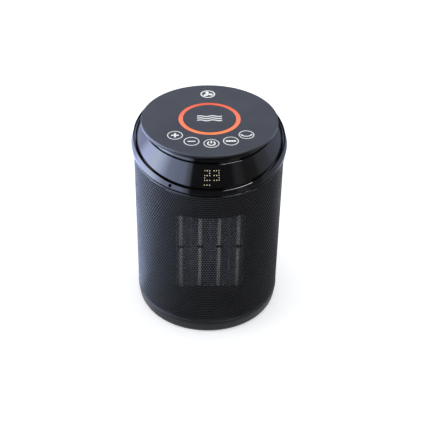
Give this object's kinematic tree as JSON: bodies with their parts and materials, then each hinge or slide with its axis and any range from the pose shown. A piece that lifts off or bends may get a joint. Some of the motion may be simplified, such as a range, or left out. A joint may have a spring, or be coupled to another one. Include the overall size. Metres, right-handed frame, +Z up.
{
  "type": "ceramic space heater",
  "caption": "Round oscillating ceramic space heater: perforated cylindrical sleeve, tilted gloss head with dot display, flat touch panel with a glowing light ring.",
  "frame": {"origin": "on the floor, on the body's vertical axis", "axes": "+Z up along the body's axis, -Y is the front with the outlet and display, +X is to a viewer's right"},
  "size_m": [0.1652, 0.1652, 0.2301],
  "materials": {
    "base_ring": "matt moulded",
    "dark_plastic": "matt moulded",
    "inner_black": "matt heat-resistant",
    "gloss_black": "high gloss",
    "slate_panel": "soft-touch matt",
    "sleeve": "satin powder coat",
    "light_guide": "translucent",
    "display_light": "lit",
    "print": "screen printed",
    "rubber": "matt",
    "screw_steel": "zinc plated",
    "bearing_steel": "polished",
    "acetal": "smooth moulded",
    "aluminium": "bright rolled",
    "ceramic": "fired",
    "brass": "plain",
    "circuit_board": "solder mask",
    "motor_steel": "plated",
    "relay_blue": "moulded",
    "winding_tape": "tape",
    "component_black": "moulded",
    "terminal_green": "moulded",
    "fuse_white": "glazed",
    "plunger_red": "moulded",
    "wire": "silicone",
    "lead_white": "PVC",
    "led": "encapsulated"
  },
  "bodies": {
    "base": {"base_shell": "base_ring", "base_plate": "dark_plastic", "rubber_feet": "rubber", "base_screws": "screw_steel", "cord_gland": "dark_plastic", "supply_lead": "lead_white", "swing_gear": "acetal", "gear_screws": "screw_steel", "thrust_washer": "acetal", "tip_switch": "component_black"},
    "tip_button": {"tip_plunger": "plunger_red"},
    "bearing": {"ball_cage": "acetal", "bearing_balls": "bearing_steel"},
    "pinion": {"drive_pinion": "acetal"},
    "rotor": {"impeller": "dark_plastic", "motor_shaft": "bearing_steel"},
    "tower": {"turntable": "dark_plastic", "hub_retainer": "screw_steel", "hub_screws": "screw_steel", "chassis_screws": "screw_steel", "swing_motor": "motor_steel", "motor_screws": "screw_steel", "power_board": "circuit_board", "board_screws": "screw_steel", "relays": "relay_blue", "transformer": "winding_tape", "capacitor": "component_black", "terminal_block": "terminal_green", "front_housing": "inner_black", "rear_housing": "inner_black", "grille": "sleeve", "ptc_frame": "inner_black", "ptc_tubes": "aluminium", "ptc_stones": "ceramic", "ptc_plates": "aluminium", "ptc_fins": "aluminium", "ptc_terminals": "brass", "thermostat": "motor_steel", "thermal_fuse": "fuse_white", "air_duct": "inner_black", "fan_shroud": "inner_black", "shroud_screws": "screw_steel", "fan_motor": "motor_steel", "rim_ring": "gloss_black", "collar": "gloss_black", "head_screws": "screw_steel", "top_panel": "slate_panel", "light_ring": "light_guide", "centre_cap": "slate_panel", "touch_board": "circuit_board", "touch_springs": "bearing_steel", "ring_leds": "led", "panel_screws": "screw_steel", "buzzer": "component_black", "display_board": "circuit_board", "display_dots": "display_light", "key_legends": "print", "print_marks": "print", "body_wiring": "wire"}
  },
  "joints": [
    {"name": "oscillate", "type": "hinge", "parent": "base", "child": "tower", "pos_m": [0, 0, 0.0166], "axis": [0, 0, 1], "range_deg": [-35, 35]},
    {"name": "cage_turn", "type": "hinge", "parent": "base", "child": "bearing", "pos_m": [0, 0, 0.0136], "axis": [0, 0, 1], "range_deg": [-17.6, 17.6]},
    {"name": "pinion_spin", "type": "hinge", "parent": "tower", "child": "pinion", "pos_m": [0.0375, 0, 0.014], "axis": [0, 0, 1], "range_deg": [-141, 141]},
    {"name": "fan_spin", "type": "hinge", "parent": "tower", "child": "rotor", "pos_m": [0, -0.01, 0.107], "axis": [0, 1, 0], "continuous": true},
    {"name": "tip_press", "type": "slide", "parent": "base", "child": "tip_button", "axis": [0, 0, 1], "range_m": [-0.0015, 0], "stiffness_N_per_m": 20, "springref_m": -0.0015}
  ],
  "couplings": [
    {"joint": "cage_turn", "follows": "oscillate", "ratio": 0.5},
    {"joint": "pinion_spin", "follows": "oscillate", "ratio": 4}
  ]
}
